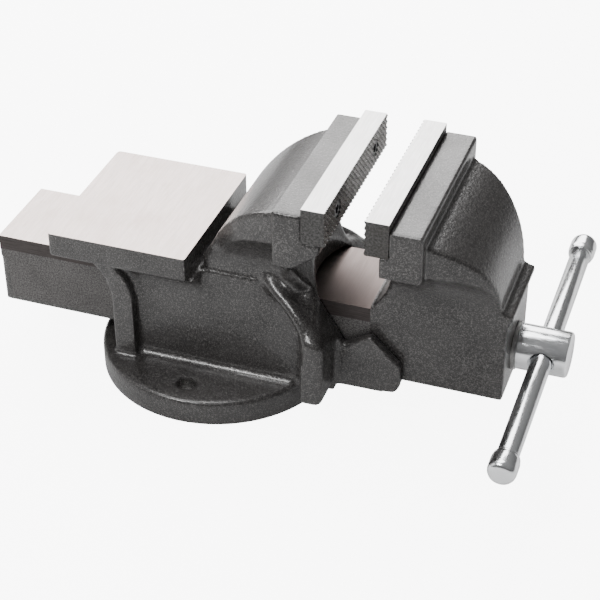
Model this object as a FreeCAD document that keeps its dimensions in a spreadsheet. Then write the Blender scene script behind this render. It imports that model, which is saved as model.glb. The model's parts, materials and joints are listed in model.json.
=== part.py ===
import FreeCAD, Part
import math
import os
import re
import Sketcher

# Bench vise with a fixed round base.
# Frame: +X runs along the slide towards the handle, +Z up.
# The origin is the centre of the base disc, on its underside.

os.makedirs("parts", exist_ok=True)
doc = FreeCAD.newDocument("bench_vise")
vector = FreeCAD.Vector
turn = FreeCAD.Rotation

# ------------------------------------------------------------------ sizes

driving = {
    # base
    "base_radius": 94,
    "base_thick": 20,
    "base_hollow_radius": 56,
    "base_hollow_depth": 12,
    "base_rim_round": 3,
    "base_hole_radius": 7,
    "base_hole_spacing": 144,
    # spindle, head and handle
    "spindle_rise": 27,
    "thread_radius": 13,
    "thread_tail": 140,
    "journal_radius": 13.5,
    "head_radius": 17.5,
    "head_length": 39,
    "head_chamfer": 1.2,
    "cross_hole_set": 20.3,
    "handle_radius": 8,
    "handle_length": 290,
    "handle_tilt": 1.8,
    "handle_shift": 2,
    "cap_wall": 2.5,
    "cap_length": 20,
    "cap_grip": 14,
    "cap_round": 5,
    "cap_edge": 1.2,
    # nut
    "nut_width": 43,
    "nut_length": 60,
    "nut_centre": 20,
    "nut_cover": 7.5,
    "nut_chamfer": 5,
    "nut_bolt_spacing": 32,
    "nut_bolt_radius": 4,
    "nut_bolt_reach": 11,
    "nut_bolt_head_across": 13,
    "nut_bolt_head_high": 5.3,
    "nut_washer_radius": 8,
    "nut_washer_thick": 2,
    # slide of the moving jaw
    "slide_wall": 13.5,
    "slide_roof": 11,
    "slide_tail": 170,
    "slide_band_high": 12,
    "slide_band_step": 0.5,
    "front_wall": 25,
    "front_face": 237,
    "front_lip": 3.5,
    "front_lip_high": 7,
    # fixed body
    "floor_rise": 16.15,
    "body_wall": 8,
    "body_roof": 10.35,
    "body_tail": 68,
    "foot_round": 8,
    "leg_thick": 18,
    "leg_half": 54,
    "leg_sweep": 24,
    "leg_bend_high": 34,
    "anvil_length": 111.4,
    "anvil_width": 130,
    "anvil_thick": 20.5,
    "anvil_round": 19,
    "flange_thick": 18,
    "flange_setback": 2.2,
    "flange_bottom": 26,
    "flange_round": 7,
    "snout_length": 51,
    "snout_top_drop": 9.5,
    "snout_nose": 18.85,
    "snout_slope_run": 35,
    "snout_floor_rise": 3,
    "snout_corner": 9,
    # jaws
    "jaw_face": 112.2,
    "jaw_gap": 27.1,
    "jaw_width": 150,
    "jaw_height": 100.1,
    "plate_high": 27.8,
    "plate_thick": 18.3,
    "plate_rise": 6.5,
    "land_fixed": 22.2,
    "land_moving": 24.2,
    "ledge_fixed": 13.1,
    "ledge_moving": 7,
    "ledge_fixed_high": 8.7,
    "ledge_moving_high": 19.7,
    "shoulder_high": 34,
    "horn_high": 45,
    "flare_high": 60,
    "moving_shoulder_high": 38,
    "moving_flare_high": 44,
    "throat_depth": 38.2,
    "throat_root_rise": 36.6,
    "throat_round": 6,
    "lip_drop": 17.4,
    "lip_run": 10,
    "lip_rise": 24,
    "lip_ease": 1.2,
    "mouth_depth": 15,
    "mouth_round": 64,
    "toe_reach": 22.7,
    "toe_ease": 1.2,
    "hood_length": 50,
    "hood_foot_rise": 18.6,
    "hood_brow": 13,
    "hood_ease": 0.82,
    "hood_inset": 9.5,
    "hood_taper_ease": 1.34,
    "back_valley": 5,
    "back_sill_rise": 22.6,
    "back_knee_run": 14,
    "back_knee_rise": 36.6,
    "back_brow": 7.5,
    "back_ease": 1.12,
    "back_inset": 9.5,
    "taper_run": 20,
    "taper_ease": 2.8,
    "flange_fillet": 14,
    "flare_ease": 0.85,
    # plate screws
    "screw_spacing": 90,
    "screw_radius": 4,
    "screw_reach": 22,
    "screw_head_radius": 6.5,
    "screw_head_high": 8,
    "screw_sink": 1.5,
    "screw_socket_across": 6,
    "screw_socket_deep": 4,
    # washers, spring and split pin on the spindle
    "washer_radius": 18.5,
    "thrust_washer_thick": 2.6,
    "spring_washer_thick": 2.5,
    "spring_wire": 2.4,
    "spring_coils": 4,
    "spring_length": 18,
    "pin_radius": 2,
    "pin_eye_radius": 2.8,
    "pin_wire": 1.1,
    "pin_tail": 5.6,
    "pin_tail_lean": 55,
    # clearances
    "slide_play": 0.35,
    "running_play": 0.05,
    "thread_play": 0.06,
    "handle_play": 0.7,
    "fit_play": 0.05,
    "bolt_play": 0.4,
    "nut_top_play": 2.4,
    "nut_side_play": 1.5,
    "face_play": 0.3,
    "washer_play": 0.3,
    "pin_play": 0.15,
}

sizes = doc.addObject("Spreadsheet::Sheet", "sizes")
for row, (name, number) in enumerate(driving.items(), start=1):
    sizes.set(f"A{row}", name.replace("_", " "))
    sizes.set(f"B{row}", str(number))
    sizes.setAlias(f"B{row}", name)
doc.recompute()


def linked(formula, inside_places=False):
    """The formula as an expression, with each size and place named in its own sheet."""
    def in_sheet(word):
        if word[0] in driving:
            return "sizes." + word[0]
        return "places." + word[0] if word[0] in derived and not inside_places else word[0]
    return re.sub(r"[a-z]\w*", in_sheet, formula)


derived = {
    "way_floor": "base_thick + floor_rise",
    "slide_bottom": "way_floor + slide_play",
    "spindle_high": "slide_bottom + spindle_rise",
    "nut_top": "spindle_high + thread_radius + nut_cover",
    "channel_roof": "nut_top + nut_top_play",
    "channel_half": "nut_width / 2 + nut_side_play",
    "slide_top": "channel_roof + slide_roof",
    "slide_half": "channel_half + slide_wall",
    "band_half": "slide_half + slide_band_step",
    "way_half": "band_half + slide_play",
    "way_roof": "slide_top + slide_play",
    "wall_half": "way_half + body_wall",
    "anvil_foot": "way_roof + body_roof",
    "anvil_top": "anvil_foot + anvil_thick",
    "anvil_half": "anvil_width / 2",
    "jaw_top": "slide_top + jaw_height",
    "jaw_half": "jaw_width / 2",
    "land_high": "jaw_top - plate_rise",
    "plate_foot": "jaw_top - plate_high",
    "plate_middle": "plate_foot + plate_high / 2",
    "shoulder_foot": "land_high - shoulder_high",
    "horn_foot": "land_high - horn_high",
    "flare_foot": "shoulder_foot - flare_high",
    "moving_shoulder_foot": "land_high - moving_shoulder_high",
    "moving_flare_foot": "moving_shoulder_foot - moving_flare_high",
    "fixed_seat": "jaw_face - plate_thick",
    "fixed_back": "fixed_seat - land_fixed",
    "moving_face": "jaw_face + jaw_gap",
    "moving_seat": "moving_face + plate_thick",
    "moving_back": "moving_seat + land_moving",
    "hood_front": "moving_back + hood_length",
    "hood_foot": "slide_top + hood_foot_rise",
    "flange_face": "jaw_face - flange_setback",
    "flange_rear": "flange_face - flange_thick",
    "throat_root": "jaw_face - throat_depth",
    "throat_root_high": "slide_top + throat_root_rise",
    "snout_face": "flange_face + snout_length",
    "snout_top": "slide_top - snout_top_drop",
    "front_wall_rear": "front_face - front_wall",
    "head_shoulder": "front_face + face_play + thrust_washer_thick",
    "cap_radius": "handle_radius + cap_wall",
    "head_face": "head_shoulder + head_length",
    "handle_place": "head_shoulder + cross_hole_set",
    "spring_front": "front_wall_rear - face_play",
    "spring_rear": "spring_front - spring_length",
    "spring_washer_rear": "spring_rear - spring_washer_thick",
    "pin_place": "spring_washer_rear - pin_radius",
    "journal_rear": "front_wall_rear - face_play - running_play",
    "spring_mean": "thread_radius + pin_play + washer_play + spring_wire",
    "nut_rear": "nut_centre - nut_length / 2",
    "back_half": "jaw_half - back_inset",
    "back_chord_run": "fixed_back - back_knee_run",
    "back_chord_rise": "land_high - back_brow - slide_top - back_knee_rise",
    "hood_half": "jaw_half - hood_inset",
    "hood_chord": "sqrt(hood_length ^ 2 + (land_high - hood_brow - hood_foot) ^ 2)",
    "ledge_face": "fixed_seat + ledge_fixed",
    "ledge_foot": "plate_foot - ledge_fixed_high",
    "toe": "moving_seat - toe_reach",
    "lip_foot": "slide_top - lip_drop",
    "lip_face": "flange_face + throat_round",
    "mouth_edge": "flange_face - mouth_depth",
    "moving_ledge_face": "moving_seat - ledge_moving",
    "moving_ledge_foot": "plate_foot - ledge_moving_high",
    "screw_head_seat": "plate_thick - screw_sink - screw_head_high",
    "screw_hole_deep": "screw_reach - screw_head_seat + screw_sink",
    "half_screw_spacing": "screw_spacing / 2",
}

places = doc.addObject("Spreadsheet::Sheet", "places")
for row, (name, formula) in enumerate(derived.items(), start=1):
    places.set(f"A{row}", name.replace("_", " "))
    places.set(f"B{row}", "=" + linked(formula, inside_places=True))
    places.setAlias(f"B{row}", name)
doc.recompute()


# ------------------------------------------------------------------ tools

def plane_of(body, role):
    """One of the body's own origin planes."""
    return next(item for item in body.Origin.OriginFeatures if item.Role == role)


def new_body(label):
    body = doc.addObject("PartDesign::Body", label)
    body.Label = label
    return body


def new_sketch(body, role, label, offset=None):
    """A sketch on an origin plane, moved along the plane's normal by a formula."""
    sketch = body.newObject("Sketcher::SketchObject", label)
    sketch.AttachmentSupport = [(plane_of(body, role), "")]
    sketch.MapMode = "FlatFace"
    if offset:
        sketch.setExpression(".AttachmentOffset.Base.z", linked(offset))
    return sketch


def corner_sheet(label, rows):
    """A sheet of one sketch's own places: a name and a formula in each row."""
    sheet = doc.addObject("Spreadsheet::Sheet", label + "_corners")
    for row, (name, formula) in enumerate(rows.items(), start=1):
        sheet.set(f"A{row}", name.replace("_", " "))
        sheet.set(f"B{row}", "=" + linked(formula))
        sheet.setAlias(f"B{row}", name)
    sheet.recompute()
    return sheet


def lock(sketch, sheet, geometry, point, index):
    """Holds a point of the sketch at the place that its sheet gives."""
    for kind, axis, name in (("DistanceX", -2, f"across_{index}"), ("DistanceY", -1, f"up_{index}")):
        number = float(getattr(sheet, name))
        if abs(number) < 1e-9:
            sketch.addConstraint(Sketcher.Constraint("PointOnObject", geometry, point, axis))
            continue
        item = sketch.addConstraint(Sketcher.Constraint(kind, -1, 1, geometry, point, number))
        sketch.setExpression(f"Constraints[{item}]", f"{sheet.Name}.{name}")


def set_radius(sketch, sheet, geometry, index):
    name = f"round_{index}"
    item = sketch.addConstraint(Sketcher.Constraint("Radius", geometry, float(getattr(sheet, name))))
    sketch.setExpression(f"Constraints[{item}]", f"{sheet.Name}.{name}")


def arc_between(start, end, radius, left):
    """The short arc between two points, bulging to the left or right of the way from start to
    end. It always runs anticlockwise, so one that bulges left is drawn from end to start."""
    chord = end - start
    side = vector(chord.y, -chord.x, 0).normalize()
    if left:
        side = side * -1
        start, end = end, start
    reach = math.sqrt(max(radius ** 2 - (chord.Length / 2) ** 2, 0))
    centre = (start + end) * 0.5 - side * reach
    first = math.atan2(start.y - centre.y, start.x - centre.x)
    last = math.atan2(end.y - centre.y, end.x - centre.x)
    if last < first:
        last += 2 * math.pi
    return Part.ArcOfCircle(Part.Circle(centre, vector(0, 0, 1), radius), first, last)


def outline(body, role, label, corners, offset=None):
    """A closed outline. A corner is (across, up), or (across, up, radius, side) when an arc
    leads to it; every entry but the side is a formula of sizes and places."""
    rows = {}
    for index, corner in enumerate(corners):
        for name, formula in zip(("across", "up", "round"), corner):
            rows[f"{name}_{index}"] = formula
    sheet = corner_sheet(label, rows)
    sketch = new_sketch(body, role, label, offset)
    points = [vector(float(getattr(sheet, f"across_{index}")), float(getattr(sheet, f"up_{index}")), 0)
              for index in range(len(corners))]
    pieces = []
    ends = []
    for index, corner in enumerate(corners):
        start, end = points[index - 1], points[index]
        if len(corner) > 2:
            left = corner[3] == "left"
            arc = arc_between(start, end, float(getattr(sheet, f"round_{index}")), left)
            pieces.append(sketch.addGeometry(arc, False))
            ends.append((2, 1) if left else (1, 2))
        else:
            pieces.append(sketch.addGeometry(Part.LineSegment(start, end), False))
            ends.append((1, 2))
    for index, corner in enumerate(corners):
        after = (index + 1) % len(corners)
        last = ends[index][1]
        sketch.addConstraint(Sketcher.Constraint(
            "Coincident", pieces[index], last, pieces[after], ends[after][0]))
        lock(sketch, sheet, pieces[index], last, index)
        if len(corner) > 2:
            set_radius(sketch, sheet, pieces[index], index)
    return sketch


def circles(body, role, label, rings, offset=None):
    """Circles in one sketch, each (across, up, radius) in formulas."""
    rows = {}
    for index, ring in enumerate(rings):
        for name, formula in zip(("across", "up", "round"), ring):
            rows[f"{name}_{index}"] = formula
    sheet = corner_sheet(label, rows)
    sketch = new_sketch(body, role, label, offset)
    for index in range(len(rings)):
        across, up, radius = (float(getattr(sheet, f"{name}_{index}")) for name in ("across", "up", "round"))
        piece = sketch.addGeometry(Part.Circle(vector(across, up, 0), vector(0, 0, 1), radius), False)
        lock(sketch, sheet, piece, 3, index)
        set_radius(sketch, sheet, piece, index)
    return sketch


def pad(body, sketch, length, both_ways=False, backwards=False):
    """Adds the sketch's outline, drawn out by a formula."""
    feature = body.newObject("PartDesign::Pad", sketch.Label + "_pad")
    feature.Profile = sketch
    feature.SideType = "Symmetric" if both_ways else "One side"
    feature.Reversed = backwards
    feature.setExpression("Length", linked(length))
    doc.recompute()
    return feature


def pocket(body, sketch, length, both_ways=False, backwards=False):
    """Cuts the sketch's outline, and stops if nothing came off."""
    before = body.Shape.Volume
    feature = body.newObject("PartDesign::Pocket", sketch.Label + "_pocket")
    feature.Profile = sketch
    feature.SideType = "Symmetric" if both_ways else "One side"
    feature.Reversed = backwards
    feature.setExpression("Length", linked(length))
    doc.recompute()
    if not body.Shape.Volume < before:
        raise ValueError(f"{sketch.Label} cuts nothing")
    return feature


def revolve(body, sketch, axis="H_Axis"):
    feature = body.newObject("PartDesign::Revolution", sketch.Label + "_turned")
    feature.Profile = sketch
    feature.ReferenceAxis = (sketch, [axis])
    feature.Angle = 360
    doc.recompute()
    return feature


def mirrored(body, features, role):
    """The same features on the other side of an origin plane."""
    feature = body.newObject("PartDesign::Mirrored", features[0].Label + "_mirrored")
    feature.Originals = features
    feature.MirrorPlane = (plane_of(body, role), [""])
    body.Tip = feature
    doc.recompute()
    return feature


def placed(item, x="0", y="0", z="0", axis=None, angle=None):
    """Moves an object to a place given by formulas, and turns it about an axis."""
    for letter, formula in zip("xyz", (x, y, z)):
        if formula != "0":
            item.setExpression(f".Placement.Base.{letter}", linked(formula))
    if axis:
        item.Placement.Rotation = turn(axis, 1)
        item.setExpression(".Placement.Rotation.Angle", linked(angle))
    return item


def box_corners(low_across, low_up, high_across, high_up):
    return [(low_across, low_up), (high_across, low_up), (high_across, high_up), (low_across, high_up)]


def along_x(body, label, shape, start, length, cut=False, forwards=True, rings=False):
    """Draws a cross-section along X from a start to a length, as a pad or a pocket."""
    draw = circles if rings else outline
    sketch = draw(body, "YZ_Plane", label, shape, start)
    if cut:
        return pocket(body, sketch, length, backwards=forwards)
    return pad(body, sketch, length, backwards=not forwards)


# ------------------------------------------------------------------ castings

def flare(body, label, outer, half, top, foot, start, length):
    """Hollows the casting's flank from an outer half width in to a narrower one."""
    section = [
        (outer, top),
        (half, foot, f"sqrt(({outer} - {half}) ^ 2 + ({top} - {foot}) ^ 2) * flare_ease", "right"),
        (half, "slide_top - slide_wall"),
        ("jaw_half + body_wall", "slide_top - slide_wall"),
        ("jaw_half + body_wall", top),
    ]
    cut = along_x(body, label, section, start, length, cut=True)
    mirrored(body, [cut], "XZ_Plane")


def make_fixed_body():
    body = new_body("fixed_body")
    # the jaw above the slideway: its back, land, plate seat and ledge
    jaw = outline(body, "XZ_Plane", "jaw_side", [
        ("back_valley", "way_roof"),
        ("back_valley", "slide_top + back_sill_rise"),
        ("back_knee_run", "slide_top + back_knee_rise"),
        ("fixed_back", "land_high - back_brow",
         "sqrt(back_chord_run ^ 2 + back_chord_rise ^ 2) * back_ease", "left"),
        ("fixed_back", "land_high"),
        ("fixed_seat", "land_high"),
        ("fixed_seat", "plate_foot"),
        ("ledge_face", "plate_foot"),
        ("ledge_face", "way_roof"),
    ])
    pad(body, jaw, "jaw_width", both_ways=True)
    taper = outline(body, "XY_Plane", "jaw_taper", [
        ("fixed_back", "back_half"),
        ("taper_run", "wall_half",
         "sqrt((fixed_back - taper_run) ^ 2 + (back_half - wall_half) ^ 2) * taper_ease", "right"),
        ("back_valley - body_wall", "wall_half"),
        ("back_valley - body_wall", "jaw_half + body_wall"),
        ("fixed_back", "jaw_half + body_wall"),
    ], "way_roof")
    mirrored(body, [pocket(body, taper, "jaw_top", backwards=True)], "XZ_Plane")
    flare(body, "rear_flare", "back_half", "wall_half", "shoulder_foot", "flare_foot",
          "-body_wall", "fixed_back + body_wall")
    flare(body, "front_flare", "jaw_half", "wall_half", "horn_foot", "flare_foot",
          "fixed_back", "flange_face - fixed_back")
    # walls of the slideway, and the wide flange at their front
    along_x(body, "core", box_corners("-wall_half", "base_thick", "wall_half", "anvil_foot"),
            "-body_tail", "body_tail + flange_face")
    flange = outline(body, "XZ_Plane", "flange", [
        ("flange_rear", "flange_bottom"),
        ("flange_face - flange_round", "flange_bottom"),
        ("flange_face", "flange_bottom + flange_round", "flange_round", "right"),
        ("flange_face", "anvil_foot"),
        ("flange_rear", "anvil_foot"),
    ])
    pad(body, flange, "jaw_width", both_ways=True)
    fillet = outline(body, "XY_Plane", "flange_fillet", [
        ("flange_rear - flange_fillet", "wall_half"),
        ("flange_rear", "wall_half + flange_fillet", "flange_fillet", "right"),
        ("flange_rear + flange_round", "wall_half + flange_fillet"),
        ("flange_rear + flange_round", "way_half"),
        ("flange_rear - flange_fillet", "way_half"),
    ], "flange_bottom")
    mirrored(body, [pad(body, fillet, "anvil_foot - flange_bottom")], "XZ_Plane")
    # the throat between the jaw and the flange
    throat = outline(body, "XZ_Plane", "throat", [
        ("throat_root + throat_round", "throat_root_high + throat_round", "throat_round", "left"),
        ("ledge_face", "ledge_foot"),
        ("lip_face", "ledge_foot"),
        ("lip_face", "lip_foot"),
        ("flange_face", "lip_foot"),
        ("flange_face - lip_run", "lip_foot + lip_rise",
         "sqrt(lip_run ^ 2 + lip_rise ^ 2) * lip_ease", "right"),
        ("throat_root", "throat_root_high"),
    ])
    pocket(body, throat, "jaw_width + body_wall", both_ways=True)
    # the round base with the walls' feet
    disc = outline(body, "XZ_Plane", "disc", [
        ("0", "0"),
        ("base_radius", "0"),
        ("base_radius", "base_thick - base_rim_round"),
        ("base_radius - base_rim_round", "base_thick", "base_rim_round", "right"),
        ("0", "base_thick"),
    ])
    revolve(body, disc, "V_Axis")
    foot = along_x(body, "foot", [
        ("way_half", "base_thick"),
        ("wall_half + foot_round", "base_thick"),
        ("wall_half", "base_thick + foot_round", "foot_round", "left"),
        ("way_half", "base_thick + foot_round"),
    ], "-body_tail", "body_tail + sqrt(base_radius ^ 2 - (wall_half + foot_round) ^ 2)")
    mirrored(body, [foot], "XZ_Plane")
    # the anvil and what carries it
    along_x(body, "anvil", box_corners("-anvil_half", "anvil_foot", "anvil_half", "anvil_top"),
            "-anvil_length", "anvil_length")
    under = along_x(body, "anvil_under", [
        ("way_half", "anvil_foot - anvil_round"),
        ("wall_half", "anvil_foot - anvil_round"),
        ("wall_half + anvil_round", "anvil_foot", "anvil_round", "left"),
        ("way_half", "anvil_foot"),
    ], "-body_tail", "body_tail + back_valley")
    mirrored(body, [under], "XZ_Plane")
    leg = outline(body, "XZ_Plane", "leg", [
        ("-body_tail", "base_thick"),
        ("-body_tail + leg_thick", "base_thick"),
        ("-body_tail + leg_thick", "anvil_foot - leg_bend_high"),
        ("-body_tail + leg_thick - leg_sweep", "anvil_foot",
         "sqrt(leg_sweep ^ 2 + leg_bend_high ^ 2)", "right"),
        ("-body_tail - leg_sweep", "anvil_foot"),
        ("-body_tail", "anvil_foot - leg_bend_high",
         "sqrt(leg_sweep ^ 2 + leg_bend_high ^ 2)", "left"),
    ])
    pad(body, leg, "leg_half * 2", both_ways=True)
    # the cheeks and floor that carry the slide ahead of the flange
    snout = outline(body, "XZ_Plane", "snout", [
        ("flange_rear", "flange_bottom"),
        ("snout_face - snout_corner", "flange_bottom + snout_floor_rise"),
        ("snout_face", "flange_bottom + snout_floor_rise + snout_corner", "snout_corner", "right"),
        ("snout_face", "way_floor + snout_nose"),
        ("snout_face - snout_slope_run", "snout_top"),
        ("flange_rear", "snout_top"),
    ])
    pad(body, snout, "wall_half * 2", both_ways=True)
    # the slideway, right through, and its open mouth
    along_x(body, "slideway", box_corners("-way_half", "way_floor", "way_half", "way_roof"),
            "-anvil_length", "anvil_length + snout_face + body_wall", cut=True)
    mouth = outline(body, "XY_Plane", "mouth", [
        ("mouth_edge", "-way_half", "mouth_round", "right"),
        ("lip_face", "-way_half"),
        ("lip_face", "way_half"),
        ("mouth_edge", "way_half"),
    ], "slide_top")
    pocket(body, mouth, "throat_root_high - slide_top", backwards=True)
    # holes: the hollow under the base, its bolts, the nut's bolts and the plate's screws
    hollow = circles(body, "XY_Plane", "hollow", [("0", "0", "base_hollow_radius")])
    pocket(body, hollow, "base_hollow_depth", backwards=True)
    bolts = circles(body, "XY_Plane", "base_holes", [
        ("0", "base_hole_spacing / 2", "base_hole_radius"),
        ("0", "-base_hole_spacing / 2", "base_hole_radius"),
    ])
    pocket(body, bolts, "base_thick + floor_rise", backwards=True)
    nut_bolts = circles(body, "XY_Plane", "nut_bolt_holes", [
        ("nut_centre + nut_bolt_spacing / 2", "0", "nut_bolt_radius + bolt_play"),
        ("nut_centre - nut_bolt_spacing / 2", "0", "nut_bolt_radius + bolt_play"),
    ])
    pocket(body, nut_bolts, "way_floor", backwards=True)
    screw_holes(body, "fixed_seat", forwards=False)
    return body


def screw_holes(body, seat, forwards):
    """Two threaded holes for the plate's screws in the seat of a jaw."""
    rings = [("half_screw_spacing", "plate_middle", "screw_radius + fit_play"),
             ("-half_screw_spacing", "plate_middle", "screw_radius + fit_play")]
    along_x(body, body.Label + "_screw_holes", rings, seat, "screw_hole_deep", cut=True,
            forwards=forwards, rings=True)


def make_moving_jaw():
    body = new_body("moving_jaw")
    hood = outline(body, "XZ_Plane", "hood", [
        ("moving_seat", "plate_foot"),
        ("moving_seat", "land_high"),
        ("moving_back", "land_high"),
        ("moving_back", "land_high - hood_brow"),
        ("hood_front", "hood_foot", "hood_chord * hood_ease", "left"),
        ("hood_front", "slide_top"),
        ("toe", "slide_top"),
        ("moving_ledge_face", "moving_ledge_foot",
         "sqrt((moving_ledge_face - toe) ^ 2 + (moving_ledge_foot - slide_top) ^ 2) * toe_ease", "right"),
        ("moving_ledge_face", "plate_foot"),
    ])
    pad(body, hood, "jaw_width", both_ways=True)
    taper = outline(body, "XY_Plane", "hood_taper", [
        ("moving_back", "hood_half"),
        ("hood_front", "slide_half",
         "sqrt(hood_length ^ 2 + (hood_half - slide_half) ^ 2) * hood_taper_ease", "left"),
        ("hood_front + body_wall", "slide_half"),
        ("hood_front + body_wall", "jaw_half + body_wall"),
        ("moving_back", "jaw_half + body_wall"),
    ], "slide_top")
    mirrored(body, [pocket(body, taper, "jaw_top", backwards=True)], "XZ_Plane")
    flare(body, "jaw_flare", "jaw_half", "slide_half", "moving_shoulder_foot", "moving_flare_foot",
          "jaw_face", "moving_back - jaw_face")
    flare(body, "hood_flare", "hood_half", "slide_half", "moving_shoulder_foot", "moving_flare_foot",
          "moving_back", "front_face - moving_back")
    # the slide, with its machined upper band, and the block at its front
    along_x(body, "slide", [
        ("-slide_half", "slide_bottom"),
        ("slide_half", "slide_bottom"),
        ("slide_half", "slide_top - slide_band_high"),
        ("band_half", "slide_top - slide_band_high"),
        ("band_half", "slide_top"),
        ("-band_half", "slide_top"),
        ("-band_half", "slide_top - slide_band_high"),
        ("-slide_half", "slide_top - slide_band_high"),
    ], "-slide_tail", "slide_tail + front_face")
    lip = outline(body, "XZ_Plane", "front_lip", [
        ("hood_front - front_lip_high", "slide_top - slide_wall"),
        ("front_face", "slide_top - slide_wall"),
        ("front_face", "hood_foot - front_lip_high * 2"),
        ("front_face + front_lip", "hood_foot - front_lip_high"),
        ("front_face + front_lip", "hood_foot - front_lip_high / 2"),
        ("hood_front - front_lip_high / 2", "hood_foot"),
        ("hood_front - front_lip_high", "hood_foot"),
    ])
    pad(body, lip, "slide_half * 2", both_ways=True)
    along_x(body, "channel", box_corners("-channel_half", "way_floor", "channel_half", "channel_roof"),
            "-slide_tail", "slide_tail + front_wall_rear", cut=True)
    along_x(body, "spindle_bore", [("0", "spindle_high", "journal_radius + running_play")],
            "front_wall_rear", "front_wall + front_lip", cut=True, rings=True)
    screw_holes(body, "moving_seat", forwards=True)
    return body


# ------------------------------------------------------------------ plates and their screws

def make_plate(label, face, forwards):
    """A serrated plate's block, counterbored from its face for two screws."""
    body = new_body(label)
    seat = f"{face} + plate_thick" if forwards else f"{face} - plate_thick"
    along_x(body, label + "_block", box_corners("-jaw_half", "plate_foot", "jaw_half", "jaw_top"),
            seat, "plate_thick", forwards=not forwards)
    for name, radius, depth in (("heads", "screw_head_radius + bolt_play", "screw_sink + screw_head_high"),
                                ("shanks", "screw_radius + bolt_play", "plate_thick")):
        rings = [("half_screw_spacing", "plate_middle", radius), ("-half_screw_spacing", "plate_middle", radius)]
        along_x(body, f"{label}_{name}", rings, face, depth, cut=True, forwards=forwards, rings=True)
    return body


def hexagon(across):
    """Corners of a hexagon from its size across the flats."""
    half, low, high = f"{across} / 2", f"{across} / sqrt(12)", f"{across} / sqrt(3)"
    return [(half, "-" + low), (half, low), ("0", high), ("-" + half, low), ("-" + half, "-" + low), ("0", "-" + high)]


def make_plate_screw(label, face, side, forwards):
    """A socket-head screw, drawn along its own X with the head's face at the origin."""
    body = new_body(label)
    along_x(body, label + "_head", [("0", "0", "screw_head_radius")], "0", "screw_head_high", rings=True)
    along_x(body, label + "_shank", [("0", "0", "screw_radius")], "screw_head_high", "screw_reach", rings=True)
    along_x(body, label + "_socket", hexagon("screw_socket_across"), "0", "screw_socket_deep", cut=True)
    if forwards:
        return placed(body, f"{face} + screw_sink", side + "half_screw_spacing", "plate_middle")
    return placed(body, f"{face} - screw_sink", side + "half_screw_spacing", "plate_middle",
                  vector(0, 0, 1), "180")


# ------------------------------------------------------------------ spindle and what rides on it

def on_spindle(item):
    """Parts of the spindle are drawn about its axis, turned so that the handle leans a little."""
    return placed(item, z="spindle_high", axis=vector(1, 0, 0), angle="handle_tilt")


def make_lead_screw():
    body = new_body("lead_screw")
    profile = outline(body, "XY_Plane", "lead_screw_profile", [
        ("-thread_tail", "0"),
        ("-thread_tail", "thread_radius - head_chamfer"),
        ("-thread_tail + head_chamfer", "thread_radius"),
        ("journal_rear", "thread_radius"),
        ("journal_rear", "journal_radius"),
        ("head_shoulder", "journal_radius"),
        ("head_shoulder", "head_radius"),
        ("head_face - head_chamfer", "head_radius"),
        ("head_face", "head_radius - head_chamfer"),
        ("head_face", "0"),
    ])
    revolve(body, profile)
    cross = circles(body, "XZ_Plane", "cross_hole", [("handle_place", "0", "handle_radius + handle_play")])
    pocket(body, cross, "head_radius * 2 + head_chamfer", both_ways=True)
    pin = circles(body, "XY_Plane", "pin_hole", [("pin_place", "0", "pin_radius + pin_play")])
    pocket(body, pin, "thread_radius * 2 + head_chamfer", both_ways=True)
    return on_spindle(body)


def make_ring(label, rear, thick, outer, inner):
    """A flat washer about the X axis."""
    body = new_body(label)
    along_x(body, label + "_ring", [("0", "0", outer), ("0", "0", inner)], rear, thick, rings=True)
    return body


def make_spring():
    """The compression spring between the front wall and its washer."""
    body = new_body("spindle_spring")
    wire = circles(body, "XZ_Plane", "spring_wire_section",
                   [("spring_rear + spring_wire / 2", "spring_mean", "spring_wire / 2")])
    coil = body.newObject("PartDesign::AdditiveHelix", "spring_coil")
    coil.Profile = wire
    coil.ReferenceAxis = (wire, ["H_Axis"])
    coil.Mode = "height-turns-angle"
    coil.setExpression("Height", linked("spring_length - spring_wire"))
    coil.setExpression("Turns", linked("spring_coils"))
    doc.recompute()
    return on_spindle(body)


def make_cotter_pin():
    """A split pin: its shank through the screw, an eye above and two tails bent out below."""
    shank = doc.addObject("Part::Cylinder", "pin_shank")
    shank.setExpression("Radius", linked("pin_radius"))
    shank.setExpression("Height", linked("(thread_radius + pin_wire) * 2"))
    pieces = [placed(shank, "pin_place", z="-thread_radius - pin_wire")]
    eye = doc.addObject("Part::Torus", "pin_eye")
    eye.setExpression("Radius1", linked("pin_eye_radius"))
    eye.setExpression("Radius2", linked("pin_wire"))
    pieces.append(placed(eye, "pin_place", z="thread_radius + pin_wire + pin_eye_radius",
                         axis=vector(0, 1, 0), angle="90"))
    for label, lean in (("pin_tail_near", "180 - pin_tail_lean"), ("pin_tail_far", "180 + pin_tail_lean")):
        tail = doc.addObject("Part::Cylinder", label)
        tail.setExpression("Radius", linked("pin_wire"))
        tail.setExpression("Height", linked("pin_tail"))
        pieces.append(placed(tail, "pin_place", z="-thread_radius", axis=vector(1, 0, 0), angle=lean))
    pin = doc.addObject("Part::MultiFuse", "cotter_pin")
    pin.Label = "cotter_pin"
    pin.Shapes = pieces
    return on_spindle(pin)


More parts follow.
